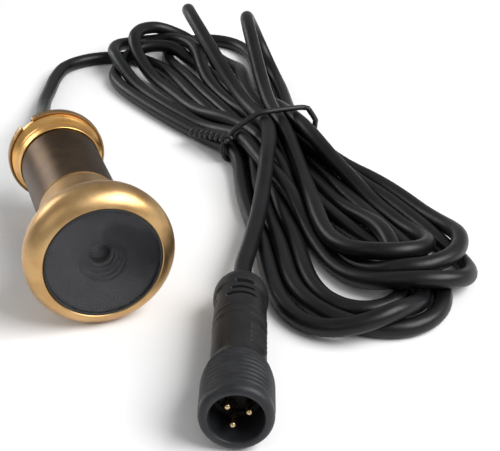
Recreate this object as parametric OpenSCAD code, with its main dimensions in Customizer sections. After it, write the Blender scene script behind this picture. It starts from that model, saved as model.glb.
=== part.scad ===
// Door viewer with a built-in camera: a brass barrel with a domed head and a
// screwed rear sleeve, and a signal cord tied in a hank that ends in a
// three-pin threaded connector. Millimetres. The barrel's axis is Y, the
// window faces -Y, and the origin is on that axis at the head's door face.

/* [Head] */
// Largest diameter of the domed head
head_d = 27.2; // [26.8:0.1:28.4]
// Thickness of the head, from its lip to the face that meets the door
head_depth = 9; // [8.9:0.1:9.4]
// Diameter of the opening inside the lip
lip_d = 21; // [20.8:0.1:21.2]
// Radius of the front edge of the dome
dome_front_r = 3.9; // [3.8:0.1:4]
// Radius of the back edge of the dome
dome_back_r = 7; // [6.9:0.1:7.2]

/* [Barrel] */
// Outer diameter of the neck and of the rear sleeve
barrel_d = 16; // [15.9:0.1:16.4]
// Length of the plain neck behind the head
neck_length = 11.8; // [11:0.1:12.5]
// Outer diameter of the threaded tube
thread_d = 13.9; // [13.8:0.1:13.9]
// Diameter of the bore that holds the camera
barrel_bore_d = 12.4; // [12.3:0.1:12.6]
// Distance from the door face to the end of the threaded tube
tube_end = 35; // [34:0.5:36]

/* [Rear sleeve] */
// Bore of the rear sleeve, which runs on the threaded tube
sleeve_bore_d = 14; // [14:0.02:14.1]
// Length of the rear sleeve with its flange
sleeve_length = 26.7; // [26:0.1:27.5]
// Diameter of the rear flange
flange_d = 19.8; // [19.6:0.1:22]
// Width of the two coin slots
coin_slot_width = 2.8; // [2:0.1:4]
// Length of the flared seat ring in front of the flange
seat_ring_length = 4.9; // [4.5:0.1:5.5]
// Diameter of the seat ring's wide end
seat_ring_d = 18.6; // [18:0.1:18.6]

/* [Window and lens] */
// Thickness of the window
window_thickness = 1; // [0.8:0.1:1.1]
// Radial thickness of the window's seal
gasket_thickness = 0.4; // [0.3:0.1:0.5]
// Radius of the widest step of the lens well
well_r = 4.15; // [4:0.05:4.4]
// Diameter of the lens barrel
lens_barrel_d = 7; // [6.8:0.1:7.2]
// Radial clearance where the lens barrel turns in its holder
lens_clearance = 0.05; // [0.02:0.01:0.08]

/* [Camera module] */
// Diameter of the sensor board
board_d = 11.8; // [11.4:0.1:12]
// Side of the square image sensor
sensor_side = 5; // [4:0.1:6]
// Distance of each holder screw from the axis
screw_offset = 4.6; // [4.4:0.1:4.8]

/* [Cord] */
// Diameter of the signal cord
cord_d = 3.5; // [3.2:0.1:3.6]
// Height of the tied hank
hank_height = 10; // [8:0.5:12]
// Thickness of the wire tie
tie_thickness = 1.2; // [1:0.1:1.6]

/* [Connector] */
// Diameter of the threaded ring
ring_d = 12; // [11.6:0.1:12.4]
// Length of the threaded ring
ring_length = 8.6; // [8.4:0.1:9]
// Diameter of the socket
socket_d = 8.6; // [8.4:0.1:8.8]
// Diameter of the body
plug_body_d = 9.3; // [9:0.1:9.6]
// Diameter of the bulge at the cord end
plug_bulge_d = 9.9; // [9.7:0.1:10.2]
// Length of the whole connector
plug_length = 41; // [40.8:0.1:42]
// Radius of the circle that the three pins stand on
pin_circle_r = 2; // [1.8:0.1:2.1]
// Diameter of one pin
pin_d = 1.1; // [1:0.1:1.2]

/* [Hidden] */
$fn = 64;

brass = [0.72, 0.53, 0.28];
dark_brass = [0.45, 0.34, 0.22];
black_plastic = [0.12, 0.12, 0.13];
black_rubber = [0.08, 0.08, 0.09];
smoked = [0.22, 0.22, 0.23, 0.6];
glass = [0.55, 0.65, 0.8, 0.6];
board_green = [0.1, 0.35, 0.18];
cream = [0.9, 0.88, 0.78];
steel = [0.7, 0.7, 0.72];
gold = [0.85, 0.68, 0.35];

floor_z = -head_d / 2;
head_r = head_d / 2;
lip_r = lip_d / 2;
barrel_r = barrel_d / 2;
barrel_bore_r = barrel_bore_d / 2;
crown_y = dome_front_r - head_depth;
lip_y = -head_depth;

// Places along the axis inside the head
window_y = lip_y + 0.3;
shroud_y = window_y + window_thickness;
shroud_plate = 0.9;
ledge_y = shroud_y + shroud_plate;
ledge_r = 9;
holder_seat_y = -2.5;
holder_flange = 1.2;
holder_front_y = holder_seat_y - holder_flange;
window_r = lip_r - gasket_thickness;
well_floor_y = -4.5;
pupil_r = 1.9;
well_steps = 5;

// Lens barrel, lenses and holder
lens_r = lens_barrel_d / 2;
lens_front_y = -4.3;
lens_back_y = 2.2;
knob_r = 4.2;
knob_length = 0.4;
front_lens_r = 1.85;
front_lens_back_y = -3.1;
front_lens_dome = 0.35;
rear_pocket_r = 2.6;
rear_pocket_y = 0.8;
holder_tube_r = 5;
holder_step_y = 3;
board_y = 6;
board_thickness = 1;
board_back_y = board_y + board_thickness;
cavity_side = 6.4;
screw_r = 0.6;
pilot_r = 0.55;
screw_tip_y = 3.6;

// Board parts and harness
socket_size = [4.6, 3, 2.6];
socket_z = -2.9;
socket_wall = 0.4;
harness_plug_size = [3.7, 3.8, 1.7];
harness_plug_y = board_back_y + 0.7;
harness_plug_end = harness_plug_y + harness_plug_size[1];
wire_r = 0.35;
wire_pitch = 1.2;

// Rear end of the barrel
rear_plug_length = 4;
rear_plug_y = tube_end - rear_plug_length;
shank_r = 2.6;
gland_bore_r = cord_d / 2 + 0.05;
gland_base_r = 3.6;
gland_tip_r = 2.4;
gland_end = 46;
stop_length = 2.4;
stop_y = rear_plug_y - stop_length;
cord_start_y = 28;

// Rear sleeve and its seat ring
sleeve_y = neck_length + 0.1;
sleeve_end = sleeve_y + sleeve_length;
flange_thickness = 1;
flange_rim_depth = 0.7;
flange_rim_width = 0.4;
flange_r = flange_d / 2;
seat_gap = 0.1;
seat_ring_clearance = 0.05;
seat_ring_lip = 0.35;
seat_ring_end = sleeve_end - flange_thickness - seat_gap;
coin_slot_angles = [-35, 145];
coin_slot_root_r = 8.9;
coin_slot_depth = 0.6;

// Connector, laid on the floor on its ring and its bulge
ring_r = ring_d / 2;
bulge_r = plug_bulge_d / 2;
shell_end = 11.9;
shoulder_end = 14;
bulge_start = 29;
bulge_s = 34.4;
plug_xy = [11.2, -48];
plug_yaw = 19.5;
shell_end_r = ring_r + (plug_body_d / 2 - ring_r) * (shell_end - ring_length) / (shoulder_end - ring_length);
plug_tilt = atan((ring_r - bulge_r) / (bulge_s - ring_length));
plug_z = floor_z + ring_r * cos(plug_tilt) + ring_length * sin(plug_tilt);
socket_depth = 7.5;
insert_length = 3.5;
pin_recess = 1;
pin_roll = 13.5;
tail_bore_depth = 12;

// Hank: circles [x, y, radius] that its two lobes wrap, and its waist
far_lobe = [[37, 116, 12], [60, 122, 12]];
near_lobe = [[43, -17, 12], [62, -6, 12.5], [65, 14, 10]];
waist_x = [41, 60];
waist_y = 50;
waist_length = 8;
tie_width = 2.4;
tie_tail_length = 12;

// Centre line of the cord from inside the barrel to the hank
lead_route = [
    [0, 28, 0], [0, 37, 0], [0, 46, 0], [0, 53, -0.8], [0.6, 61, -2.8],
    [1.6, 69, -5.2], [2.8, 77, -7.6], [4.2, 85, -9.6], [6, 94, -11],
    [8.8, 103, -11.7], [12, 112, -11.8], [16, 119, -11.8],
    [22, 123, -11.8], [29.5, 122.5, -11.8]
];
// Centre line of the cord from the connector's end to the hank
tail_route = [[27.4, -3, -9], [30.6, 3, -9], [33.4, 8.5, -8.9], [36, 13.5, -8.5], [38.6, 19, -8]];

function plug_axis(s) = [
    plug_xy[0] + s * sin(plug_yaw) * cos(plug_tilt),
    plug_xy[1] + s * cos(plug_yaw) * cos(plug_tilt),
    plug_z - s * sin(plug_tilt)
];
function unit(v) = v / norm(v);
function tangent(path, i) =
    unit(path[min(i + 1, len(path) - 1)] - path[max(i - 1, 0)]);
function ring_points(path, i, r, sides) =
    let (t = tangent(path, i), u = unit(cross([0, 0, 1], t)), v = cross(t, u))
    [for (k = [0 : sides - 1])
        path[i] + r * (cos(360 * k / sides) * u + sin(360 * k / sides) * v)];

// A closed tube of straight stretches along a list of points
module cord_tube(path, r, sides = 8) {
    last = (len(path) - 1) * sides;
    points = [for (i = [0 : len(path) - 1]) each ring_points(path, i, r, sides)];
    walls = [for (i = [0 : len(path) - 2], k = [0 : sides - 1])
        let (a = i * sides + k, b = i * sides + (k + 1) % sides)
        [a, b, b + sides, a + sides]];
    ends = [
        [for (k = [sides - 1 : -1 : 0]) k],
        [for (k = [0 : sides - 1]) last + k]
    ];
    polyhedron(points, concat(walls, ends), convexity = 6);
}

// A profile drawn as [radius, place along Y], turned about the Y axis
module turned() rotate([-90, 0, 0]) rotate_extrude($fn = 96) children();

module disc(r, y0, y1) rotate([-90, 0, 0]) translate([0, 0, y0]) cylinder(r = r, h = y1 - y0);

module tube(r_out, r_in, y0, y1) difference() {
    disc(r_out, y0, y1);
    disc(r_in, y0 - 1, y1 + 1);
}

module bevelled_disc(r, y0, y1, bevel) turned() polygon([
    [0, y0], [r - bevel, y0], [r, y0 + bevel], [r, y1], [0, y1]
]);

// Moves a piece built along +Y from the connector's mouth to where it lies
module at_plug() translate([plug_xy[0], plug_xy[1], plug_z]) rotate([-plug_tilt, 0, -plug_yaw]) children();

module head_profile() {
    translate([head_r - dome_front_r, crown_y]) circle(dome_front_r);
    translate([0, lip_y]) square([head_r - dome_front_r, head_depth - 1]);
    intersection() {
        translate([head_r - dome_back_r, crown_y]) circle(dome_back_r);
        translate([0, crown_y]) square([head_r + 1, -crown_y]);
    }
}

module front_housing() color(brass) difference() {
    union() {
        turned() head_profile();
        disc(barrel_r, -1, neck_length);
        disc(thread_d / 2, neck_length - 1, tube_end);
    }
    disc(lip_r, lip_y - 1, ledge_y);
    disc(ledge_r, ledge_y - 1, holder_seat_y);
    disc(barrel_bore_r, holder_seat_y - 1, tube_end + 1);
}

module window_gasket() color(black_rubber) tube(lip_r, window_r, window_y - 0.15, ledge_y);

module front_window() color(smoked) bevelled_disc(window_r, window_y, shroud_y, 0.2);

module lens_shroud() color(black_plastic) {
    step = (well_floor_y - shroud_y) / well_steps;
    narrowing = (well_r - pupil_r) / (well_steps - 1);
    difference() {
        union() {
            disc(window_r, shroud_y, ledge_y);
            disc(well_r + 1.1, ledge_y - 0.5, well_floor_y);
            tube(ledge_r - 0.1, ledge_r - 1.1, ledge_y - 0.5, holder_front_y);
        }
        for (i = [0 : well_steps - 1])
            disc(well_r - i * narrowing, shroud_y - 1, shroud_y + (i + 1) * step + (i == well_steps - 1 ? 1 : 0));
    }
}

module lens_barrel() color(black_plastic) difference() {
    union() {
        disc(knob_r, lens_front_y, lens_front_y + knob_length);
        disc(lens_r, lens_front_y, lens_back_y);
    }
    disc(front_lens_r, lens_front_y - 1, front_lens_back_y);
    disc(1.5, front_lens_back_y - 1, rear_pocket_y + 1);
    disc(rear_pocket_r, rear_pocket_y, lens_back_y + 1);
}

module front_lens() color(glass) {
    dome_r = (front_lens_r * front_lens_r + front_lens_dome * front_lens_dome) / (2 * front_lens_dome);
    turned() intersection() {
        translate([0, lens_front_y - front_lens_dome + dome_r]) circle(dome_r, $fn = 180);
        translate([0, lens_front_y - 1]) square([front_lens_r, front_lens_back_y - lens_front_y + 1]);
    }
}

module rear_lens() color(glass) disc(rear_pocket_r, rear_pocket_y, rear_pocket_y + 0.8);

module ir_filter() color([0.75, 0.35, 0.4, 0.6]) disc(rear_pocket_r, rear_pocket_y + 0.8, rear_pocket_y + 1.2);

module lens_holder() color(black_plastic) difference() {
    union() {
        disc(ledge_r - 0.2, holder_front_y, holder_seat_y);
        disc(holder_tube_r, holder_front_y, holder_step_y);
        disc(board_d / 2, holder_step_y - 1, board_y);
    }
    disc(lens_r + lens_clearance, holder_front_y - 1, holder_step_y + 1);
    translate([-cavity_side / 2, holder_step_y, -cavity_side / 2])
        cube([cavity_side, board_y - holder_step_y + 1, cavity_side]);
    for (side = [-1, 1])
        translate([side * screw_offset, 0, 0]) disc(pilot_r, screw_tip_y - 0.4, board_y + 1);
}

module image_sensor() color([0.2, 0.22, 0.3])
    translate([-sensor_side / 2, board_y - 0.9, -sensor_side / 2]) cube([sensor_side, 0.9, sensor_side]);

module sensor_board() color(board_green) difference() {
    disc(board_d / 2, board_y, board_back_y);
    for (side = [-1, 1])
        translate([side * screw_offset, 0, 0]) disc(screw_r + 0.1, board_y - 1, board_back_y + 1);
}

module holder_screws() color(steel)
    for (side = [-1, 1]) translate([side * screw_offset, 0, 0]) difference() {
        union() {
            disc(screw_r, screw_tip_y, board_back_y + 0.1);
            disc(1.1, board_back_y, board_back_y + 0.7);
        }
        translate([-0.9, board_back_y + 0.4, -0.12]) cube([1.8, 1, 0.24]);
    }

module video_chip() color([0.1, 0.1, 0.11])
    translate([-1.9, board_back_y, 0.7]) cube([3.8, 0.9, 3.8]);

module board_capacitors() color([0.6, 0.45, 0.3])
    for (x = [-3.1, 3.1], z = [-2.3, 1.9])
        translate([x - 0.5, board_back_y, z - 0.25]) cube([1, 0.5, 0.5]);

module board_socket() color(cream)
    translate([-socket_size[0] / 2, board_back_y, socket_z - socket_size[2] / 2]) difference() {
        cube(socket_size);
        translate([socket_wall, 0.6, socket_wall])
            cube([socket_size[0] - 2 * socket_wall, socket_size[1], socket_size[2] - 2 * socket_wall]);
    }

module harness_plug() color(cream)
    translate([-harness_plug_size[0] / 2, harness_plug_y, socket_z - harness_plug_size[2] / 2])
        cube(harness_plug_size);

// Three cores that fan in from the harness plug to the end of the cord
module wire_harness() {
    colours = ["gold", "firebrick", "black"];
    for (i = [0 : 2]) {
        from = [(i - 1) * wire_pitch, harness_plug_end, socket_z];
        to = [(i - 1) * 0.8, cord_start_y, 0];
        run = to - from;
        color(colours[i]) translate(from)
            rotate([-90 + atan2(run[2], norm([run[0], run[1]])), 0, -atan2(run[0], run[1])])
                cylinder(r = wire_r, h = norm(run), $fn = 24);
    }
}

module rear_plug() color(black_plastic) tube(barrel_bore_r, shank_r, rear_plug_y, tube_end);

module cord_stop() color(steel) tube(shank_r + 0.4, gland_bore_r, stop_y, rear_plug_y);

module cable_gland() color(black_rubber) difference() {
    union() {
        disc(shank_r, rear_plug_y, tube_end + 0.5);
        turned() polygon([
            [0, tube_end], [gland_base_r, tube_end], [gland_base_r, tube_end + 1.6],
            [gland_tip_r, gland_end], [0, gland_end]
        ]);
    }
    disc(gland_bore_r, rear_plug_y - 1, gland_end + 1);
}

module seat_ring() color(brass) {
    front_y = seat_ring_end - seat_ring_length;
    wide_r = seat_ring_d / 2;
    lip_radius = barrel_r + seat_ring_lip;
    step_radius = lip_radius + 0.15;
    bore_radius = barrel_r + seat_ring_clearance;
    turned() polygon([
        [bore_radius, front_y], [lip_radius, front_y], [step_radius, front_y + 1.9],
        [step_radius + 0.15, front_y + 2], [wide_r - 0.25, seat_ring_end - 1.4],
        [wide_r, seat_ring_end - 0.6], [wide_r, seat_ring_end], [bore_radius, seat_ring_end]
    ]);
}

module rear_sleeve() color(dark_brass) difference() {
    union() {
        disc(barrel_r, sleeve_y, sleeve_end);
        disc(flange_r, sleeve_end - flange_thickness, sleeve_end);
        tube(flange_r, flange_r - flange_rim_width, sleeve_end - flange_thickness - flange_rim_depth,
            sleeve_end - 0.1);
    }
    disc(sleeve_bore_d / 2, sleeve_y - 1, sleeve_end + 1);
    for (angle = coin_slot_angles) rotate([0, angle, 0]) {
        translate([-coin_slot_width / 2, sleeve_end - 3, coin_slot_root_r])
            cube([coin_slot_width, 4, 3]);
        translate([-coin_slot_width / 2, sleeve_end - coin_slot_depth, 0])
            cube([coin_slot_width, 1, flange_d]);
    }
}

module cord_lead() color(black_rubber) cord_tube(lead_route, cord_d / 2);

module hank_outline() {
    half = waist_length / 2;
    for (lobe = [far_lobe, near_lobe]) hull() {
        for (c = lobe) translate([c[0], c[1]]) circle(c[2], $fn = 32);
        translate([waist_x[0], waist_y - half]) square([waist_x[1] - waist_x[0], waist_length]);
    }
}

module cord_hank() color(black_rubber) difference() {
    translate([0, 0, floor_z]) linear_extrude(hank_height) hank_outline();
    translate([waist_x[0] - 5, waist_y - tie_width / 2, floor_z - 1])
        cube([waist_x[1] - waist_x[0] + 10, tie_width, 1 + tie_thickness]);
}

module cord_tail() color(black_rubber)
    cord_tube(concat([plug_axis(plug_length - tail_bore_depth + 1), plug_axis(plug_length - 5),
        plug_axis(plug_length)], tail_route), cord_d / 2);

module wire_tie() color(black_plastic) {
    width = waist_x[1] - waist_x[0];
    translate([waist_x[0], waist_y - tie_width / 2, floor_z]) difference() {
        translate([-tie_thickness, 0, 0])
            cube([width + 2 * tie_thickness, tie_width, hank_height + tie_thickness]);
        translate([0, -1, tie_thickness])
            cube([width, tie_width + 2, hank_height - tie_thickness]);
    }
    translate([waist_x[0] - tie_thickness, waist_y, floor_z + 5]) rotate([-90, 0, 0])
        cylinder(r = tie_thickness, h = tie_tail_length);
}

module plug_overmould() color(black_rubber) at_plug() difference() {
    turned() polygon(concat(
        [[0, shell_end], [shell_end_r, shell_end], [plug_body_d / 2, shoulder_end],
            [plug_body_d / 2, bulge_start], [bulge_r, bulge_start + 3], [bulge_r, bulge_s]],
        [for (a = [15 : 15 : 60])
            [bulge_r - 3 * (1 - cos(a)), bulge_s + 6.5 * sin(a)]],
        [[2.6, plug_length], [0, plug_length]]
    ));
    disc(gland_bore_r, plug_length - tail_bore_depth, plug_length + 1);
}

module plug_shell() color(black_plastic) at_plug() difference() {
    union() {
        disc(ring_r, 0, ring_length);
        turned() polygon([
            [0, ring_length - 1], [ring_r, ring_length - 1], [ring_r, ring_length],
            [shell_end_r, shell_end], [0, shell_end]
        ]);
    }
    disc(socket_d / 2, -1, socket_depth + insert_length);
}

module plug_seal() color(black_rubber) at_plug()
    tube(socket_d / 2, socket_d / 2 - 0.8, socket_depth - 0.8, socket_depth);

module plug_insert() color(black_plastic) at_plug() difference() {
    disc(socket_d / 2, socket_depth, socket_depth + insert_length);
    for (k = [0 : 2]) rotate([0, -pin_roll - k * 120, 0]) translate([pin_circle_r, 0, 0])
        disc(pin_d / 2, socket_depth - 1, socket_depth + insert_length - 0.5);
}

module plug_pins() color(gold) at_plug()
    for (k = [0 : 2]) rotate([0, -pin_roll - k * 120, 0]) translate([pin_circle_r, 0, 0])
        bevelled_disc(pin_d / 2, pin_recess, socket_depth + insert_length - 0.5, 0.3);

front_housing();
window_gasket();
front_window();
lens_shroud();
lens_barrel();
front_lens();
rear_lens();
ir_filter();
lens_holder();
image_sensor();
sensor_board();
holder_screws();
video_chip();
board_capacitors();
board_socket();
harness_plug();
wire_harness();
rear_plug();
cord_stop();
cable_gland();
seat_ring();
rear_sleeve();
cord_lead();
cord_hank();
cord_tail();
wire_tie();
plug_overmould();
plug_shell();
plug_seal();
plug_insert();
plug_pins();
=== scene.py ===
"""Looks of a brass door viewer with a built-in camera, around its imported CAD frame."""
import math

import bmesh
import bpy
import numpy as np
from mathutils import Matrix, Vector


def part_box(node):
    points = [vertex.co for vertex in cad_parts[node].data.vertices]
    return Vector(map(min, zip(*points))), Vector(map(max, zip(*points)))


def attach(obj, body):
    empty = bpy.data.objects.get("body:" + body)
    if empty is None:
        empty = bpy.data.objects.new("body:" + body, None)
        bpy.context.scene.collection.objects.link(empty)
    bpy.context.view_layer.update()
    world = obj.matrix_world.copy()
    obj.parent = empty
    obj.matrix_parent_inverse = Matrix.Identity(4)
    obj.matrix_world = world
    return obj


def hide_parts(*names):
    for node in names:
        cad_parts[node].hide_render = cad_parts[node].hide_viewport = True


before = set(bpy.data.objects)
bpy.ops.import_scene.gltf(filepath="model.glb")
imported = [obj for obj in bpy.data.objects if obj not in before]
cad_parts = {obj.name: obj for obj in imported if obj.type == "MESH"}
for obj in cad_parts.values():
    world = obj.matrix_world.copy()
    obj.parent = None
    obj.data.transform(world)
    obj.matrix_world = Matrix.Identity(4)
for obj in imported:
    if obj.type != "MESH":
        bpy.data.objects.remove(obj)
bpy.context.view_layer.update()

MM = 0.001
# The height of the floor, which the hank of cord lies on.
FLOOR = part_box("cord_hank")[0].z

# Two points closer than this, in metres, are one.
SAME_POINT = 1e-7

# A ring of points on the axis starts with this radius, in millimetres, and is then merged.
NEAR_AXIS = 1e-5


# ---------- camera, floor and lights

# The camera's heading is from +Y towards +X, in degrees.
CAMERA_PLACE = (-0.0288, -0.1719, 0.0983)
CAMERA_YAW = 18.8
CAMERA_DOWN = 29
CAMERA_LENS = 79.2

# The point that the lights face, and how far the floor reaches from the origin.
SUBJECT = (0.02, 0.04, 0)
FLOOR_REACH = 8.0


def look_along(direction):
    return Vector(direction).to_track_quat("-Z", "Y").to_euler()


def add_camera():
    data = bpy.data.cameras.new("camera")
    data.sensor_width = 36
    data.lens = CAMERA_LENS
    data.clip_start = 0.01
    data.clip_end = 20
    camera = bpy.data.objects.new("camera", data)
    bpy.context.scene.collection.objects.link(camera)
    yaw, pitch = math.radians(CAMERA_YAW), math.radians(CAMERA_DOWN)
    camera.location = CAMERA_PLACE
    camera.rotation_euler = look_along((
        math.sin(yaw) * math.cos(pitch), math.cos(yaw) * math.cos(pitch), -math.sin(pitch)))
    bpy.context.scene.camera = camera


def add_area_light(name, place, size, power):
    data = bpy.data.lights.new(name, "AREA")
    data.shape = "RECTANGLE"
    data.size, data.size_y = size
    data.energy = power
    lamp = bpy.data.objects.new(name, data)
    bpy.context.scene.collection.objects.link(lamp)
    lamp.location = place
    lamp.rotation_euler = look_along(Vector(SUBJECT) - Vector(place))


def add_world(strength):
    """Light that is dim from below and white from above."""
    world = bpy.data.worlds.new("studio")
    world.use_nodes = True
    nodes, links = world.node_tree.nodes, world.node_tree.links
    background = nodes["Background"]
    ramp = nodes.new("ShaderNodeValToRGB")
    ramp.color_ramp.elements[0].position = 0.35
    ramp.color_ramp.elements[0].color = (0.25, 0.25, 0.26, 1)
    ramp.color_ramp.elements[1].position = 0.75
    ramp.color_ramp.elements[1].color = (1, 1, 1, 1)
    place = nodes.new("ShaderNodeTexCoord")
    split = nodes.new("ShaderNodeSeparateXYZ")
    half = nodes.new("ShaderNodeMath")
    half.operation = "MULTIPLY_ADD"
    half.inputs[1].default_value = 0.5
    half.inputs[2].default_value = 0.5
    links.new(place.outputs["Generated"], split.inputs[0])
    links.new(split.outputs["Z"], half.inputs[0])
    links.new(half.outputs[0], ramp.inputs[0])
    links.new(ramp.outputs[0], background.inputs["Color"])
    background.inputs["Strength"].default_value = strength
    bpy.context.scene.world = world


def add_floor():
    mesh = bpy.data.meshes.new("floor")
    low, high = -FLOOR_REACH, FLOOR_REACH
    corners = [(low, low, FLOOR), (high, low, FLOOR), (high, high, FLOOR), (low, high, FLOOR)]
    mesh.from_pydata(corners, [], [(0, 1, 2, 3)])
    floor = bpy.data.objects.new("floor", mesh)
    bpy.context.scene.collection.objects.link(floor)
    material = bpy.data.materials.new("floor_paper")
    material.use_nodes = True
    shader = material.node_tree.nodes["Principled BSDF"]
    shader.inputs["Base Color"].default_value = (0.9, 0.9, 0.9, 1)
    shader.inputs["Roughness"].default_value = 0.9
    shader.inputs["Specular IOR Level"].default_value = 0.1
    mesh.materials.append(material)


# ---------- mesh helpers

def arc(centre, radius, start, end, steps):
    """Points (radius, y) of an arc, angles in degrees from the radial direction towards +Y."""
    angles = np.radians(np.linspace(start, end, steps + 1))
    return [(centre[0] + radius * math.cos(a), centre[1] + radius * math.sin(a)) for a in angles]


def rounded(corners, steps=4):
    """A closed outline of corners (x, y, rounding radius) as points, with its corners rounded."""
    points = []
    count = len(corners)
    for i, (x, y, r) in enumerate(corners):
        here = Vector((x, y))
        back = Vector(corners[i - 1][:2]) - here
        ahead = Vector(corners[(i + 1) % count][:2]) - here
        a, b = back.normalized(), ahead.normalized()
        half = a.angle(b) / 2
        reach = min(r / math.tan(half), back.length / 2, ahead.length / 2)
        for k in range(steps + 1):
            t = k / steps
            p = here + a * reach * (1 - t) ** 2 + b * reach * t ** 2
            points.append((p.x, p.y))
    return points


def finish_mesh(name, bm, sharp=32):
    """Makes a smooth-shaded object of a mesh, with edges over sharp degrees kept hard."""
    bmesh.ops.remove_doubles(bm, verts=bm.verts, dist=SAME_POINT)
    bmesh.ops.dissolve_degenerate(bm, edges=bm.edges, dist=SAME_POINT / 10)
    bmesh.ops.recalc_face_normals(bm, faces=bm.faces)
    mesh = bpy.data.meshes.new(name)
    bm.to_mesh(mesh)
    bm.free()
    piece = bpy.data.objects.new(name, mesh)
    bpy.context.scene.collection.objects.link(piece)
    mesh.shade_smooth()
    mesh.set_sharp_from_angle(angle=math.radians(sharp))
    return piece


def add_rings(bm, rings, closed_ends=True, loop=False):
    """Joins rings of as many vertices each into a skin; loop also joins the last to the first."""
    rows = [[bm.verts.new(p) for p in ring] for ring in rings]
    count = len(rows[0])
    pairs = list(zip(rows, rows[1:]))
    if loop:
        pairs.append((rows[-1], rows[0]))
    for low, high in pairs:
        for k in range(count):
            bm.faces.new((low[k], low[(k + 1) % count], high[(k + 1) % count], high[k]))
    if closed_ends and not loop:
        bm.faces.new(list(reversed(rows[0])))
        bm.faces.new(rows[-1])


def turned_point(radius, y, angle):
    """A point at a radius and an angle round the Y axis, from millimetres to metres."""
    return (radius * math.sin(angle) * MM, y * MM, radius * math.cos(angle) * MM)


def turn_ring(radius, y, sides):
    return [turned_point(radius, y, 2 * math.pi * k / sides) for k in range(sides)]


def turned(name, outline, sides, sharp):
    """A closed outline of (radius, y) in millimetres, turned about the Y axis."""
    bm = bmesh.new()
    on_axis = any(r == 0 for r, _ in outline)
    rings = [turn_ring(max(r, NEAR_AXIS), y, sides) for r, y in outline]
    add_rings(bm, rings, closed_ends=False, loop=not on_axis)
    if on_axis:
        bmesh.ops.remove_doubles(bm, verts=bm.verts, dist=3 * NEAR_AXIS * MM)
    return finish_mesh(name, bm, sharp)


def relief_turned(name, stations, radius_at, sides, bore, sharp):
    """A bored solid about the Y axis, whose radius in millimetres is radius_at(y, angles)."""
    bm = bmesh.new()
    angles = np.linspace(0, 2 * math.pi, sides, endpoint=False)
    rings = []
    for y in stations:
        reach = radius_at(y, angles)
        rings.append([turned_point(r, y, a) for r, a in zip(reach, angles)])
    rings.append(turn_ring(bore, stations[-1], sides))
    rings.append(turn_ring(bore, stations[0], sides))
    add_rings(bm, rings, loop=True)
    return finish_mesh(name, bm, sharp)


def helix_thread(name, start, end, root, crest, wall, pitch=1, sides=72):
    """A screw thread along Y between two places, with its flat back at radius wall, in millimetres."""
    # The outline of one turn: share of the pitch, and radius.
    shape = [(0.0, root), (0.12, root), (0.42, crest), (0.58, crest), (0.88, root)]
    turns = int(math.ceil((end - start) / pitch)) + 1
    outward = 1 if crest > root else -1
    rows = []
    for turn in range(turns + 1):
        for share, radius in shape:
            row = []
            for k in range(sides):
                y = start + (turn - 1 + share + k / sides) * pitch
                depth = min(abs(radius - root), max(0.0, y - start), max(0.0, end - y))
                place = min(max(y, start), end)
                row.append((root + outward * depth, place, 2 * math.pi * k / sides))
            rows.append(row)
    bm = bmesh.new()
    verts = []
    for row in rows:
        verts.append([bm.verts.new(turned_point(r, y, a)) for r, y, a in row])
    step = len(shape)
    for i in range(len(verts) - 1):
        for k in range(sides):
            if k < sides - 1:
                face = (verts[i][k], verts[i][k + 1], verts[i + 1][k + 1], verts[i + 1][k])
            elif i + step + 1 < len(verts):
                face = (verts[i][k], verts[i + step][0], verts[i + step + 1][0], verts[i + 1][k])
            else:
                continue
            if max(v.co.y for v in face) - min(v.co.y for v in face) > SAME_POINT:
                bm.faces.new(face)
    bmesh.ops.remove_doubles(bm, verts=bm.verts, dist=10 * SAME_POINT)
    rings = [turn_ring(root, start, sides), turn_ring(wall, start, sides),
             turn_ring(wall, end, sides), turn_ring(root, end, sides)]
    add_rings(bm, rings, closed_ends=False)
    bmesh.ops.delete(bm, geom=[v for v in bm.verts if not v.link_faces], context="VERTS")
    return finish_mesh(name, bm, 50)


def tube_along(name, line, radius, sides, rounded_ends=False):
    """A tube along a line of points in metres, with frames carried along it without twist."""
    line = np.asarray(line, float)
    radii = np.full(len(line), radius)
    if rounded_ends:
        first, last = line[1] - line[0], line[-1] - line[-2]
        first, last = first / np.linalg.norm(first), last / np.linalg.norm(last)
        # The rings of a rounded end: distance past the line's end and radius, as shares of its radius.
        caps = [(0.8, 0.30), (0.56, 0.75), (0.28, 0.95)]
        head = [line[0] - first * radius * past for past, _ in caps]
        tail = [line[-1] + last * radius * past for past, _ in caps]
        line = np.vstack([head, line, tail[::-1]])
        tapered = np.array([radius * share for _, share in caps])
        radii = np.r_[tapered, radii, tapered[::-1]]
    along = np.gradient(line, axis=0)
    along /= np.linalg.norm(along, axis=1, keepdims=True)
    side = np.cross(along[0], (0, 0, 1))
    if np.linalg.norm(side) < 1e-3:
        side = np.cross(along[0], (1, 0, 0))
    turn = np.linspace(0, 2 * math.pi, sides, endpoint=False)
    rings = []
    for place, t, r in zip(line, along, radii):
        side = side - t * np.dot(side, t)
        side /= np.linalg.norm(side)
        other = np.cross(t, side)
        rings.append([place + r * (math.cos(a) * side + math.sin(a) * other) for a in turn])
    bm = bmesh.new()
    add_rings(bm, rings)
    return finish_mesh(name, bm, 60)


def gaps_of(line):
    """The distance from each point of a line to the next."""
    return np.linalg.norm(np.diff(line, axis=0), axis=1)


def run_of(line):
    """The distance along a line to each of its points."""
    return np.r_[0, np.cumsum(gaps_of(line))]


def evenly(line, step):
    """The line again, as points about a step apart."""
    run = run_of(line)
    places = np.linspace(0, run[-1], int(round(run[-1] / step)) + 1)
    return np.stack([np.interp(places, run, line[:, k]) for k in range(3)], 1)


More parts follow.
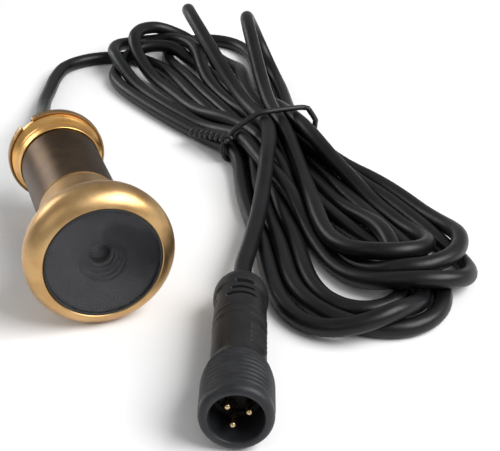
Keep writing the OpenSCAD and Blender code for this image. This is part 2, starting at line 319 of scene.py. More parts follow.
def smooth_line(points, step):
    """A centripetal Catmull-Rom curve through the points, as points about a step apart."""
    p = np.asarray(points, float)
    p = np.vstack([2 * p[0] - p[1], p, 2 * p[-1] - p[-2]])
    parts = []
    for i in range(1, len(p) - 2):
        p0, p1, p2, p3 = p[i - 1:i + 3]
        t1 = np.linalg.norm(p1 - p0) ** 0.5
        t2 = t1 + np.linalg.norm(p2 - p1) ** 0.5
        t3 = t2 + np.linalg.norm(p3 - p2) ** 0.5
        t = np.linspace(t1, t2, 12, endpoint=False)[:, None]
        a1 = (t1 - t) / t1 * p0 + t / t1 * p1
        a2 = (t2 - t) / (t2 - t1) * p1 + (t - t1) / (t2 - t1) * p2
        a3 = (t3 - t) / (t3 - t2) * p2 + (t - t2) / (t3 - t2) * p3
        b1 = (t2 - t) / t2 * a1 + t / t2 * a2
        b2 = (t3 - t) / (t3 - t1) * a2 + (t - t1) / (t3 - t1) * a3
        parts.append((t2 - t) / (t2 - t1) * b1 + (t - t1) / (t2 - t1) * b2)
    parts.append(p[-2:-1])
    return evenly(np.vstack(parts), step)


def set_piece(piece, body, slot, material, *nodes):
    """Puts a piece on its body, with its material, in place of its CAD nodes. Its slot is not used."""
    piece.data.materials.clear()
    piece.data.materials.append(material)
    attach(piece, body)
    if nodes:
        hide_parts(*nodes)


# ---------- the tied hank of cord

# In metres. REST is the height of the cord's axis on the floor, TIE_WIRE how far the tie's wire lifts
# it, BESIDE_TIE how near the route's points come to the tie, and STEP the cord from point to point.
DIAMETER = 0.0035
RADIUS = DIAMETER / 2
REST = FLOOR + RADIUS
TIE_Y = 0.05
TIE_WIRE = 0.0012
BESIDE_TIE = 0.003
ROW_RISE = 0.00305
STEP = 0.003

# Heights of the rows of cord under the tie, from the lowest, which lies on the tie's wire.
ROWS = [REST + TIE_WIRE, REST + TIE_WIRE + ROW_RISE, REST + TIE_WIRE + 2 * ROW_RISE]

# The cord from the end of the viewer to the hank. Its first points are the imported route's.
LEAD = [
    (0, 0.028, 0), (0, 0.037, 0), (0, 0.046, 0), (0, 0.053, -0.0008),
    (0.0006, 0.061, -0.0028), (0.0016, 0.069, -0.0052), (0.0028, 0.077, -0.0076),
    (0.0042, 0.085, -0.0096), (0.006, 0.094, -0.011), (0.0088, 0.103, -0.0117),
    (0.012, 0.112, -0.0118), (0.016, 0.119, -0.0118), (0.022, 0.123, -0.0118),
    (0.0295, 0.1225, -0.0118), (0.035, 0.118, -0.0118), (0.04, 0.111, -0.0118),
    (0.044, 0.1, -0.0118), (0.046, 0.086, -0.0118), (0.047, 0.068, -0.0118),
]

# The cord from the hank to the connector.
TAIL = [
    (0.0476, 0.04, -0.0054), (0.0449, 0.0325, -0.0064), (0.0418, 0.0255, -0.0073),
    (0.0386, 0.019, -0.008), (0.036, 0.0135, -0.0085), (0.0334, 0.0085, -0.0089),
    (0.0306, 0.003, -0.009), (0.0274, -0.003, -0.009),
]

# Where each pass of the cord lies under the tie: x and row, in the order of winding.
SLOTS = [
    (0.047, 0), (0.0575, 0), (0.0505, 0), (0.054, 0), (0.0435, 0), (0.05225, 1), (0.04525, 1),
    (0.05575, 1), (0.04875, 1), (0.05925, 1), (0.054, 2), (0.0575, 2), (0.0505, 2),
]

# The loops of each side in the order of winding: the bend's centre x and y, its radius, its heading in
# degrees from straight away from the tie towards +X, its height above cord that lies on the floor, its
# roll in degrees, and how far its legs in and out bow outwards.
NEAR_LOOPS = [
    (0.0502, -0.0162, 0.012, -10, 0, 0, 0.001, 0),
    (0.047, -0.0085, 0.0111, 0, 0.007, 0, 0, 0),
    (0.0438, -0.0164, 0.0126, -10, 0.0036, -8, -0.001, 0),
    (0.0612, -0.0122, 0.0098, 30, 0.008, 0, 0.003, 0.002),
    (0.0586, -0.006, 0.0108, 8, 0.011, 0, 0.001, 0.005),
    (0.0554, -0.0034, 0.0086, 12, 0.015, -4, 0.001, 0.001),
]
FAR_LOOPS = [
    (0.0568, 0.1175, 0.011, 0, 0.0036, 0, 0, 0),
    (0.0392, 0.1075, 0.0115, 0, 0.0036, 0, 0, 0.0025),
    (0.0401, 0.1165, 0.0106, -3, 0.0072, 0, 0, 0.003),
    (0.046, 0.117, 0.0106, -2, 0.01, 0, 0, 0.001),
    (0.0642, 0.092, 0.01, 13, 0.0086, -68, 0, 0),
    (0.0507, 0.1026, 0.01, 13, 0.0086, -68, 0, 0),
]

# The directions along Y in which the loops of each side lie.
NEAR, FAR = -1, 1

# The far loops that stand on edge, by their place in the list, and the mark of cord in no far loop.
STANDING = (4, 5)
NO_FAR_LOOP = -1

# The connector lies on its ring and its body: its mouth in x and y, and its axis in degrees.
MOUTH = (0.0112, -0.048)
RING_RADIUS = 0.006
RING_LENGTH = 0.0086
PLUG_TILT = 2.331
PLUG_YAW = 19.5

# Where the cord runs inside the connector, as distances from its mouth.
CORD_IN_PLUG = (0.041, 0.036, 0.03)

# How the cord settles. First the lengths at its ends that stay where they are laid.
HELD_AT_VIEWER = 0.096
HELD_AT_PLUG = 0.042
# Rounds, the sag in each round, and the share of the rounds that has the stronger sag.
ROUNDS = 400
EARLY_SAG = 0.0001
LATE_SAG = 0.00004
EARLY_SHARE = 0.6
# Stiffness: sweeps in each round, and how strongly each of them eases the bends.
BEND_SWEEPS = 14
BEND_EASE = 0.055
# How strongly the cord keeps to where it was laid: in plan, under the tie, and in standing loops.
PLAN_HOLD = 0.012
TIE_HOLD = 0.1
STANDING_HOLD = 0.02
# Cord this near to the tie lies on its wire, and cord within the reach of the tie is held by it.
OVER_WIRE = 0.0016
TIE_REACH = 0.006
# A standing loop begins to be held up this far from the tie, and is fully held up after the rise.
STAND_START = 0.01
STAND_RISE = 0.025
# Pairs that might touch are looked for every few rounds: how much further out than the cord is thick,
# and how many diameters apart along it.
PAIRS_EVERY = 10
PAIRS_MARGIN = 0.0025
PAIRS_APART = 2.6
# The corrections of length and of contact: how often in each round, and how strong.
CORRECTIONS = 3
LENGTH_PULL = 0.9
CONTACT_PUSH = 1.3
# Cord that is held has no ground under it, and TINY keeps divisions from failing.
NO_GROUND = -1
TINY = 1e-9


def plug_place():
    """Places the connector's own frame, with its mouth at 0 and its cord end along +Y, on the floor."""
    tilt, yaw = math.radians(PLUG_TILT), math.radians(PLUG_YAW)
    height = FLOOR + RING_RADIUS * math.cos(tilt) + RING_LENGTH * math.sin(tilt)
    return (Matrix.Translation((*MOUTH, height))
            @ Matrix.Rotation(-yaw, 4, "Z") @ Matrix.Rotation(-tilt, 4, "X"))


def loop_points(slot_in, slot_out, loop, side):
    """One loop of the hank, from its slot under the tie, round its tip and back to the next slot."""
    x, y, radius, heading, height, roll, bow_in, bow_out = loop
    centre = np.array([x, y, REST + height])
    turn, tip = math.radians(heading), math.radians(roll)
    ahead = np.array([math.sin(turn), side * math.cos(turn), 0])
    level = np.array([ahead[1], -ahead[0], 0])
    across = level * math.cos(tip) + np.array([0, 0, math.sin(tip)])
    first = np.array([slot_in[0], TIE_Y + side * BESIDE_TIE, ROWS[slot_in[1]]])
    last = np.array([slot_out[0], TIE_Y + side * BESIDE_TIE, ROWS[slot_out[1]]])

    def leg(tied, open_end, bow):
        stops = (0.3, 0.6, 0.85)
        return [tied + (open_end - tied) * t + level * bow * math.sin(math.pi * t) for t in stops]

    bend = [centre + across * radius * math.cos(a) + ahead * radius * math.sin(a)
            for a in np.radians(range(0, 181, 30))]
    return ([first] + leg(first, centre + across * radius, bow_in) + bend
            + leg(last, centre - across * radius, -bow_out)[::-1] + [last])


def cord_route():
    """Rough points of the whole cord, and for each the far loop that it belongs to, if any."""
    points = LEAD + [(SLOTS[0][0], TIE_Y + BESIDE_TIE, ROWS[0])]
    marks = [NO_FAR_LOOP] * len(points)
    for turn, (near, far) in enumerate(zip(NEAR_LOOPS, FAR_LOOPS)):
        slot_a, slot_b, slot_c = SLOTS[2 * turn:2 * turn + 3]
        near_points = loop_points(slot_a, slot_b, near, NEAR)
        far_points = loop_points(slot_b, slot_c, far, FAR)
        points = points + near_points + far_points
        marks += [NO_FAR_LOOP] * len(near_points) + [turn] * len(far_points)
    x, row = SLOTS[-1]
    place = plug_place()
    ending = [(x, TIE_Y - BESIDE_TIE, ROWS[row])] + TAIL
    ending += [tuple(place @ Vector((0, s, 0))) for s in CORD_IN_PLUG]
    return points + ending, marks + [NO_FAR_LOOP] * len(ending)


# Two segments count as parallel when the squared area that they span is below this.
PARALLEL = 1e-15


def closest_points(line, i, j):
    """For pairs of segments i and j of a line: where they come closest, and the way from j to i."""
    p, q = line[i], line[j]
    u, v = line[i + 1] - p, line[j + 1] - q
    apart = p - q
    uu, vv, uv = (u * u).sum(1), (v * v).sum(1), (u * v).sum(1)
    ua, va = (u * apart).sum(1), (v * apart).sum(1)
    spread = uu * vv - uv * uv
    s = np.clip((uv * va - ua * vv) / np.maximum(spread, PARALLEL), 0, 1)
    s = np.where(spread > PARALLEL, s, 0.5)
    t = (uv * s + va) / vv
    s = np.where(t < 0, np.clip(-ua / uu, 0, 1), np.where(t > 1, np.clip((uv - ua) / uu, 0, 1), s))
    t = np.clip(t, 0, 1)
    return s, t, (p + u * s[:, None]) - (q + v * t[:, None])


def near_pairs(line, reach, skip):
    """Pairs of segments within reach of each other, at least skip segments apart along the line."""
    middle = (line[1:] + line[:-1]) / 2
    gaps = ((middle[:, None, :] - middle[None, :, :]) ** 2).sum(-1)
    return np.nonzero(np.triu(gaps < reach ** 2, skip))


def push_apart(line, i, j, free):
    """Moves the parts of the cord that run through each other until they touch."""
    s, t, way = closest_points(line, i, j)
    gap = np.linalg.norm(way, axis=1)
    hit = gap < DIAMETER
    if not hit.any():
        return
    i, j, s, t = i[hit], j[hit], s[hit][:, None], t[hit][:, None]
    gap = gap[hit][:, None]
    push = (DIAMETER - gap) * way[hit] / np.maximum(gap, TINY) * 0.5
    total, weight = np.zeros_like(line), np.zeros((len(line), 1))
    for index, share, sign in ((i, 1 - s, 1), (i + 1, s, 1), (j, 1 - t, -1), (j + 1, t, -1)):
        np.add.at(total, index, sign * share * push)
        np.add.at(weight, index, share)
    line += total / np.maximum(weight, 1) * CONTACT_PUSH * free


def ease_bends(line, free):
    """Spreads the bends along the cord, as its stiffness does."""
    for _ in range(BEND_SWEEPS):
        bend = np.zeros_like(line)
        bend[1:-1] = line[:-2] - 2 * line[1:-1] + line[2:]
        ease = np.zeros_like(line)
        ease[1:-1] = bend[:-2] - 2 * bend[1:-1] + bend[2:]
        line -= BEND_EASE * ease * free


def keep_length(line, gap, free):
    """Moves neighbouring points back to a gap apart, first the even pairs and then the odd ones."""
    for first in (0, 1):
        a = np.arange(first, len(line) - 1, 2)
        way = line[a + 1] - line[a]
        length = np.linalg.norm(way, axis=1, keepdims=True)
        fix = LENGTH_PULL * (length - gap) / length * way / np.maximum(free[a] + free[a + 1], TINY)
        line[a] += fix * free[a]
        line[a + 1] -= fix * free[a + 1]


def standing_share(line, points, marks):
    """How far each point of the line belongs to a loop that stands on edge, from 0 to 1."""
    run = run_of(np.asarray(points, float))
    nearest = np.searchsorted(run / run[-1], np.linspace(0, 1, len(line))).clip(0, len(points) - 1)
    in_loop = np.isin(marks, STANDING)[nearest]
    clear_of_tie = np.clip((np.abs(line[:, 1] - TIE_Y) - STAND_START) / STAND_RISE, 0, 1)
    return (in_loop * clear_of_tie)[:, None]


def settle_cord():
    """Lays the cord down: it sags, keeps its length, and rests on the floor and on itself."""
    points, marks = cord_route()
    start = smooth_line(points, STEP)
    line = start.copy()
    gap = gaps_of(line).mean()
    stand = standing_share(line, points, marks)
    from_tie = np.abs(line[:, 1] - TIE_Y)
    tied = np.clip(1 - from_tie / TIE_REACH, 0, 1)[:, None]
    free = np.ones((len(line), 1))
    free[:int(HELD_AT_VIEWER / gap)] = 0
    free[-int(HELD_AT_PLUG / gap):] = 0
    ground = np.where(from_tie < OVER_WIRE, REST + TIE_WIRE, REST)
    ground = np.where(free[:, 0] > 0, ground, NO_GROUND)
    for number in range(ROUNDS):
        if number % PAIRS_EVERY == 0:
            i, j = near_pairs(line, DIAMETER + PAIRS_MARGIN, math.ceil(PAIRS_APART * DIAMETER / gap))
        sag = EARLY_SAG if number < ROUNDS * EARLY_SHARE else LATE_SAG
        line[:, 2:] -= sag * free * (1 - stand)
        line[:, 2:] += STANDING_HOLD * (start[:, 2:] - line[:, 2:]) * free * stand
        ease_bends(line, free)
        line[:, :2] += PLAN_HOLD * (start[:, :2] - line[:, :2]) * free
        line += TIE_HOLD * (start - line) * tied * free
        for _ in range(CORRECTIONS):
            keep_length(line, gap, free)
            push_apart(line, i, j, free)
            line[:, 2] = np.maximum(line[:, 2], ground)
    return line


# ---------- pieces of the cord and its tie

TIE_RADIUS = 0.00064
TIE_WOBBLE = 0.0006

# No cord but the hank's crosses the tie's plane beyond this x.
HANK_SIDE = 0.03

# Points of the drawn tie and cord are this far apart. The cord is drawn a little thinner than it
# settles, so that most runs that touch keep a fine gap.
TIE_STEP = 0.0008
SKIN_STEP = 0.0014
SKIN_RADIUS = 0.00172

# The wire bulges out at the upper right of the bundle: how far, and at which angle.
TIE_SLACK = 0.0013
TIE_SLACK_AT = 42

# The twisted tail beside the bundle. Its ends are given in x and y from the bundle's side at the tie,
# and in z from the floor.
TAIL_START = (-0.0008, -0.0002, 0.0057)
TAIL_END = (-0.0062, 0.0115, 0.0034)
TAIL_HALF_TURNS = 7
TAIL_ARCH = 0.0004


def tie_outline(crossing):
    """The wire's way round the bundle in x and z, as corners, and how slack it is at each."""
    angles = np.radians(np.arange(-90, 270, 10))
    slack = TIE_SLACK * np.clip(np.cos(2 * (angles - math.radians(TIE_SLACK_AT))), 0, 1)
    slack *= np.sin(angles + 0.1) > 0
    around = RADIUS + TIE_RADIUS
    reach = [max(crossing @ (math.cos(a), math.sin(a)) + around) for a in angles] + slack
    corners = []
    for k, a in enumerate(angles):
        b, r, q = angles[k - 1], reach[k], reach[k - 1]
        cross = math.sin(a - b)
        x = (q * math.sin(a) - r * math.sin(b)) / cross
        z = (r * math.cos(b) - q * math.cos(a)) / cross
        corners.append((x, z))
    return corners, slack


def tie_strand(start, end, half):
    """One of the two strands that are twisted round each other from start to end."""
    along = (end - start).normalized()
    side = along.cross(Vector((0, 0, 1))).normalized()
    up = side.cross(along)
    strand = []
    for t in (k / 60 for k in range(61)):
        a = math.pi * (half + TAIL_HALF_TURNS * t)
        spread = TIE_RADIUS * (1.02 + 0.5 * max(0, t - 0.85))
        arch = Vector((0, 0, TAIL_ARCH)) * math.sin(math.pi * t)
        aside = (side * math.cos(a) + up * math.sin(a)) * spread
        strand.append(start + (end - start) * t + aside + arch)
    return strand


def make_tie(line):
    """A wire bent round the bundle where the cords cross the tie, and its twisted tail."""
    near_tie = (np.abs(line[:, 1] - TIE_Y) < STEP / 2) & (line[:, 0] > HANK_SIDE)
    crossing = line[near_tie][:, [0, 2]]
    corners, slack = tie_outline(crossing)
    loop = []
    for k, (x, z) in enumerate(corners):
        loop.append((x, TIE_Y + TIE_WOBBLE * math.sin(0.35 * k), max(z, FLOOR + TIE_RADIUS)))
    loop = np.array(loop)
    eased = (np.roll(loop, 1, 0) + 2 * loop + np.roll(loop, -1, 0)) / 4
    loop = np.where(slack[:, None] > 0, eased, loop)
    loop = np.vstack((loop, loop[:1]))
    pieces = [tube_along("tie_loop", smooth_line(loop, TIE_STEP), TIE_RADIUS, 12)]
    corner = Vector((min(crossing[:, 0]), TIE_Y, FLOOR))
    start, end = corner + Vector(TAIL_START), corner + Vector(TAIL_END)
    for half in (0, 1):
        strand = tie_strand(start, end, half)
        pieces.append(tube_along(f"tie_strand_{half + 1}", strand, TIE_RADIUS, 10, rounded_ends=True))
    return pieces


# ---------- pieces of the viewer

def span(node):
    """A node's radius and its front and back along Y, in millimetres to the hundredth."""
    low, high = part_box(node)
    return [round(value / MM, 2) for value in (high.x, low.y, high.y)]


HEAD_RADIUS, _, TUBE_END = span("front_housing")
WINDOW_RADIUS, WINDOW_FRONT, WINDOW_BACK = span("front_window")
RECESS_RADIUS, SEAL_FRONT, PLATE_BACK = span("window_gasket")
_, _, SHROUD_BACK = span("lens_shroud")
FLANGE_RADIUS, SLEEVE_START, SLEEVE_END = span("rear_sleeve")
_, SEAT_START, SEAT_END = span("seat_ring")
_, _, GLAND_END = span("cable_gland")

# Sizes in millimetres that the boxes do not tell, as in the CAD.
BARREL_RADIUS = 8.0
CAMERA_BORE = 6.2
NECK_LENGTH = 11.8
HEAD_WIDEST = -5.1
LEDGE_RADIUS = 9.0
LENS_SEAT = -4.5
FLANGE_THICKNESS = 1.0
SLOT_ANGLES = (-35, 145)
SLOT_HALF_WIDTH = 1.4
CORD_BORE = 1.85


def make_head():
    """The domed head, with its recess for the window, and the neck behind it."""
    rim = (RECESS_RADIUS - 0.8, HEAD_WIDEST)
    shoulder = (HEAD_RADIUS - 7.0, HEAD_WIDEST)
    front = arc(rim, HEAD_RADIUS - rim[0], -74.5, 0, 26)
    back = arc(shoulder, 7.0, 0, 45.6, 22)[1:]
    recess = [(LEDGE_RADIUS, PLATE_BACK), (RECESS_RADIUS, PLATE_BACK),
              (RECESS_RADIUS, WINDOW_FRONT + 0.2), (RECESS_RADIUS + 0.03, WINDOW_FRONT + 0.04),
              (RECESS_RADIUS + 0.13, WINDOW_FRONT - 0.1)]
    r, end = BARREL_RADIUS, NECK_LENGTH
    neck = [(11.36, -0.04), (11.28, 0), (r + 0.3, 0), (r + 0.08, 0.05), (r, 0.25), (r, end - 0.25),
            (r - 0.08, end - 0.08), (r - 0.25, end), (CAMERA_BORE, end)]
    inside = [(CAMERA_BORE, -2.5), (LEDGE_RADIUS, -2.5)]
    return turned("brass_head", recess + front + back + neck + inside, 224, 30)


def slot_cutters():
    """Boxes for the coin slots: each notches the flange's rim and cuts deeper into its end face."""
    bm = bmesh.new()
    for angle in SLOT_ANGLES:
        around = Matrix.Rotation(math.radians(angle), 4, "Y")
        for low, high, places in ((8.9, 12, (35, 40)), (6, 12, (38, 40))):
            box = []
            for x in (-SLOT_HALF_WIDTH, SLOT_HALF_WIDTH):
                for y in places:
                    box += [around @ Vector((x * MM, y * MM, z * MM)) for z in (low, high)]
            bmesh.ops.convex_hull(bm, input=[bm.verts.new(corner) for corner in box])
    return finish_mesh("cutter", bm)


def make_sleeve():
    """The threaded sleeve, with a flange whose rim reaches over the seat ring, and its coin slots."""
    r, start, end = BARREL_RADIUS, SLEEVE_START, SLEEVE_END
    face = end - FLANGE_THICKNESS
    outside = [(r - 1.0, start + 0.1), (r - 0.9, start), (r - 0.22, start), (r - 0.06, start + 0.06),
               (r, start + 0.22), (r, start + 0.6), (r, face - 0.25), (r + 0.06, face - 0.08),
               (r + 0.25, face)]
    r = FLANGE_RADIUS
    rim = [(r - 0.6, face), (r - 0.46, face - 0.04), (r - 0.4, face - 0.16), (r - 0.4, face - 0.6),
           (r - 0.35, face - 0.7), (r - 0.2, face - 0.72), (r - 0.05, face - 0.68), (r, face - 0.58)]
    flange = [(r, end - 0.2), (r - 0.06, end - 0.06), (r - 0.2, end), (7.6, end)]
    bore = [(7.45, end - 0.15), (7.45, 22.0), (7.0, 21.8)]
    sleeve = turned("brass_sleeve", outside + rim + flange + bore, 200, 30)
    cutter = slot_cutters()
    cut = sleeve.modifiers.new("coin_slots", "BOOLEAN")
    cut.operation = "DIFFERENCE"
    cut.solver = "EXACT"
    cut.use_self = True
    cut.object = cutter
    soften = sleeve.modifiers.new("soft_edges", "BEVEL")
    soften.width = 0.08 * MM
    soften.segments = 2
    soften.limit_method = "ANGLE"
    soften.angle_limit = math.radians(60)
    depsgraph = bpy.context.evaluated_depsgraph_get()
    mesh = bpy.data.meshes.new_from_object(sleeve.evaluated_get(depsgraph))
    sleeve.modifiers.clear()
    sleeve.data = mesh
    bpy.data.objects.remove(cutter)
    mesh.set_sharp_from_angle(angle=math.radians(30))
    return sleeve


def make_seat_ring():
    """The flared ring between the sleeve and its flange, with a step half way up the flare."""
    r, start, end = BARREL_RADIUS, SEAT_START, SEAT_END
    lip = [(r + 0.05, start + 0.15), (r + 0.14, start), (r + 0.24, start), (r + 0.33, start + 0.06),
           (r + 0.36, start + 0.2), (r + 0.42, start + 1.2), (r + 0.5, start + 1.82),
           (r + 0.56, start + 1.92)]
    flare = [(r + 0.5 + 0.15 * t + 0.4 * t * t, start + 2.02 + 1.48 * t) for t in np.linspace(0.12, 1, 8)]
    wide_end = [(r + 1.26, end - 1.1), (r + 1.42, end - 0.65), (r + 1.46, end - 0.1), (r + 1.4, end),
                (r + 0.05, end)]
    return turned("brass_seat_ring", lip + flare + wide_end, 200, 24)


def make_window():
    r = WINDOW_RADIUS
    outline = [(0, WINDOW_FRONT), (r - 0.24, WINDOW_FRONT), (r - 0.08, WINDOW_FRONT + 0.06),
               (r, WINDOW_FRONT + 0.2), (r, WINDOW_BACK - 0.02), (r - 0.02, WINDOW_BACK), (0, WINDOW_BACK)]
    return turned("smoked_window", outline, 160, 30)


def make_gasket():
    corners = [(WINDOW_RADIUS, SEAL_FRONT, 0.12), (RECESS_RADIUS, SEAL_FRONT, 0.12),
               (RECESS_RADIUS, PLATE_BACK, 0.05), (WINDOW_RADIUS, PLATE_BACK, 0.05)]
    return turned("window_seal", rounded(corners), 160, 40)


def make_shroud():
    """The black plate behind the window, with its skirt and the stepped well of the lens."""
    face, back = WINDOW_BACK + 0.01, PLATE_BACK
    skirt = LEDGE_RADIUS - 0.1
    outline = [(WINDOW_RADIUS - 0.02, face), (WINDOW_RADIUS - 0.02, back), (skirt, back),
               (skirt, SHROUD_BACK), (skirt - 1.0, SHROUD_BACK), (skirt - 1.0, back), (5.25, back),
               (5.25, LENS_SEAT), (1.93, LENS_SEAT)]
    steps, widest, narrowing, drop = 5, 4.15, 0.5625, 0.638
    for i in reversed(range(steps)):
        radius, depth = widest - i * narrowing, face + (i + 1) * drop
        if i < steps - 1:
            outline += [(radius - 0.1, depth), (radius - 0.03, depth - 0.03)]
        outline += [(radius, depth - 0.1), (radius + 0.03, depth - 0.58), (radius + 0.1, depth - drop)]
    return turned("stepped_shroud", outline, 160, 30)


def make_gland():
    """The gland in the end plug, with the ribbed sleeve that guards the cord's first bend."""
    start, end = TUBE_END - 2, GLAND_END
    outline = [(CORD_BORE, start), (2.6, start), (2.6, TUBE_END + 0.05), (3.35, TUBE_END + 0.05),
               (3.55, TUBE_END + 0.15), (3.6, TUBE_END + 0.35), (3.6, TUBE_END + 1.3),
               (3.5, TUBE_END + 1.55)]
    for rib in range(6):
        y = TUBE_END + 1.9 + rib * 1.5
        r = 3.5 - 0.118 * (0.3 + 1.5 * rib)
        outline += [(r, y), (r - 0.06, y + 0.55), (r - 0.34, y + 0.7), (r - 0.38, y + 1.1),
                    (r - 0.2, y + 1.3)]
    outline += [(2.36, end - 0.3), (2.2, end - 0.05), (1.95, end), (CORD_BORE, end - 0.1)]
    return turned("ribbed_gland", outline, 96, 35)


# ---------- pieces of the connector

def bump_between(value, low, high, soft):
    """1 inside a range and 0 outside it, with soft sides."""
    rise = np.clip((value - low) / soft, 0, 1)
    fall = np.clip((high - value) / soft, 0, 1)
    t = np.minimum(rise, fall)
    return t * t * (3 - 2 * t)


def off_angle(angles, centre):
    """How many degrees each angle, in radians, lies away from a heading in degrees."""
    return np.abs((np.degrees(angles) - centre + 180) % 360 - 180)


# Sizes in millimetres, and places along the axis from the connector's mouth.
SHELL_RADIUS = 5.88
LIP_ROUNDING = 1.02
TAPER_START = 8.3
TAPER_DEPTH = 1.21
SHELL_END = 11.9
SHOULDER_END = 14
THREAD_START = 2
THREAD_PITCH = 1.1
THREAD_DEPTH = 0.08
SOCKET_RADIUS = 4.3
SEAL_PLACE = (6.7, 7.5)
INSERT_END = 11.0
BODY_RADIUS = 4.65
BULGE_RADIUS = 4.95
BULGE_START = 33.4
DOME_START = 36
DOME_END = 40.6
BODY_END = 41
BODY_BORE = 1.72
PIN_RADIUS = 0.55
PIN_CIRCLE = 2
FIRST_PIN = -13.5


def shell_radius(s):
    """The shell's radius, with its rounded lip, fine thread and taper towards the body."""
    r = SHELL_RADIUS
    if s < 1:
        r = SHELL_RADIUS - LIP_ROUNDING + LIP_ROUNDING * math.sqrt(1 - (1 - s) ** 2)
    elif s > TAPER_START:
        r -= TAPER_DEPTH * ((s - TAPER_START) / (SHOULDER_END - TAPER_START)) ** 1.5
    if THREAD_START < s < SHELL_END:
        r += THREAD_DEPTH * math.cos(2 * math.pi * (s - THREAD_START - THREAD_PITCH / 2) / THREAD_PITCH)
    return r


def make_shell():
    """The threaded shell round the socket, from its mouth along the outside and back inside."""
    bm = bmesh.new()
    sides = 144
    lip = [0.0, 0.03, 0.1, 0.22, 0.4, 0.65, 0.95, 1.3, 1.6, 1.9]
    stations = np.r_[lip, np.arange(THREAD_START, SHELL_END - 0.04, 0.11), SHELL_END]
    rings = [turn_ring(shell_radius(s), s, sides) for s in stations]
    inside = [(3.6, SHELL_END), (3.6, INSERT_END), (SOCKET_RADIUS, INSERT_END),
              (SOCKET_RADIUS, SEAL_PLACE[1]), (SOCKET_RADIUS, 0.9), (4.32, 0.45), (4.4, 0.15),
              (4.52, 0.02)]
    rings += [turn_ring(r, s, sides) for r, s in inside]
    add_rings(bm, rings, loop=True)
    return finish_mesh("connector_shell", bm, 50)


# Cuts in the strain relief: distance from the mouth, heading round the axis, half width in degrees.
RELIEF_CUTS = [
    (30.4, 2, 36), (32.3, 6, 29), (34.2, 9, 21),
    (30.4, 180, 33), (32.3, 180, 25), (34.2, 180, 16),
    (31.35, 92, 30), (33.25, 92, 24),
    (31.35, 270, 30), (33.25, 270, 24),
]
CUT_DEPTH = 1.1
CUT_HALF_LENGTH = 0.42

# Raised details of the body: two thin rings, and a patch of grip ribs whose ends are staggered.
THIN_RINGS = (24.4, 26.7)
RING_HEIGHT = 0.08
GRIP_RIBS = 8
GRIP_START = 15.9
GRIP_STEP = 0.72
GRIP_HEIGHT = 0.2
GRIP_HEADING = 50
GRIP_HALF_ANGLE = 27


def overmould_radius(s, angles):
    """The moulded body's radius at distance s from the mouth, at each angle round the axis."""
    if s < SHOULDER_END:
        base = shell_radius(s) - 0.05
    elif s < BULGE_START:
        base = BODY_RADIUS
    elif s < DOME_START:
        rise = min(1, (s - BULGE_START) / 1.4)
        base = BODY_RADIUS + (BULGE_RADIUS - BODY_RADIUS) * (1 - math.cos(math.pi * rise)) / 2
    elif s < DOME_END:
        base = BULGE_RADIUS * math.sqrt(1 - ((s - DOME_START) / 5.5) ** 2)
    else:
        base = 2.71 - 0.6 * ((s - DOME_END) / (BODY_END - DOME_END)) ** 2
    r = np.full(len(angles), base)
    for ring in THIN_RINGS:
        r += RING_HEIGHT * bump_between(s, ring - 0.35, ring + 0.35, 0.22)
    for k in range(GRIP_RIBS):
        place = GRIP_START + k * GRIP_STEP
        half = GRIP_HALF_ANGLE + 1.5 * (k % 2)
        patch = bump_between(-off_angle(angles, GRIP_HEADING), -half, 20, 2.5)
        r += GRIP_HEIGHT * bump_between(s, place - 0.26, place + 0.26, 0.16) * patch
    for place, centre, half in RELIEF_CUTS:
        patch = bump_between(-off_angle(angles, centre), -half, 60, 5)
        r -= CUT_DEPTH * bump_between(s, place - CUT_HALF_LENGTH, place + CUT_HALF_LENGTH, 0.2) * patch
    return r


def make_overmould():
    """The moulded body, with points close together where its details are fine."""
    stations = np.r_[np.arange(SHELL_END + 0.02, 15.4, 0.24), np.arange(15.42, 27.4, 0.12),
                     np.arange(27.8, 29.8, 0.5), np.arange(29.8, BODY_END, 0.1), BODY_END]
    return relief_turned("connector_body", stations, overmould_radius, 180, BODY_BORE, 50)


def make_plug_seal():
    front, back = SEAL_PLACE
    corners = [(3.5, front, 0.25), (SOCKET_RADIUS, front, 0.02), (SOCKET_RADIUS, back, 0.02),
               (3.5, back, 0.05)]
    return turned("connector_seal", rounded(corners), 96, 40)


def make_pins():
    """Three pins with rounded tips, evenly spaced round the axis."""
    bm = bmesh.new()
    profile = [(0.001, 1.0), (0.22, 1.03), (0.4, 1.12), (0.5, 1.28), (PIN_RADIUS, 1.5),
               (PIN_RADIUS, 10.5), (0.001, 10.5)]
    for k in range(3):
        a = math.radians(FIRST_PIN - 120 * k)
        x, z = PIN_CIRCLE * math.cos(a), -PIN_CIRCLE * math.sin(a)
        rings = []
        for r, s in profile:
            rings.append([(p[0] + x * MM, p[1], p[2] + z * MM) for p in turn_ring(r, s, 32)])
        add_rings(bm, rings)
    return finish_mesh("connector_pins", bm, 40)


# ---------- materials

# The spacing of turning marks in millimetres.
LATHE_PITCH = 0.22


def srgb(levels):
    """Screen levels of 0-255 as a linear colour, by the sRGB curve."""
    linear = [v / 3294.6 if v < 10.3 else ((v / 255 + 0.055) / 1.055) ** 2.4 for v in levels]
    return (*linear, 1)


def add_noise(tree, vector, size, detail=4, rough=0.55):
    noise = tree.nodes.new("ShaderNodeTexNoise")
    noise.inputs["Scale"].default_value = 1 / size
    noise.inputs["Detail"].default_value = detail
    noise.inputs["Roughness"].default_value = rough
    tree.links.new(vector, noise.inputs["Vector"])
    return noise.outputs["Fac"]


def add_bump(tree, height, distance, before=None):
    bump = tree.nodes.new("ShaderNodeBump")
    bump.inputs["Strength"].default_value = 1
    bump.inputs["Distance"].default_value = distance
    tree.links.new(height, bump.inputs["Height"])
    if before:
        tree.links.new(before, bump.inputs["Normal"])
    return bump.outputs["Normal"]


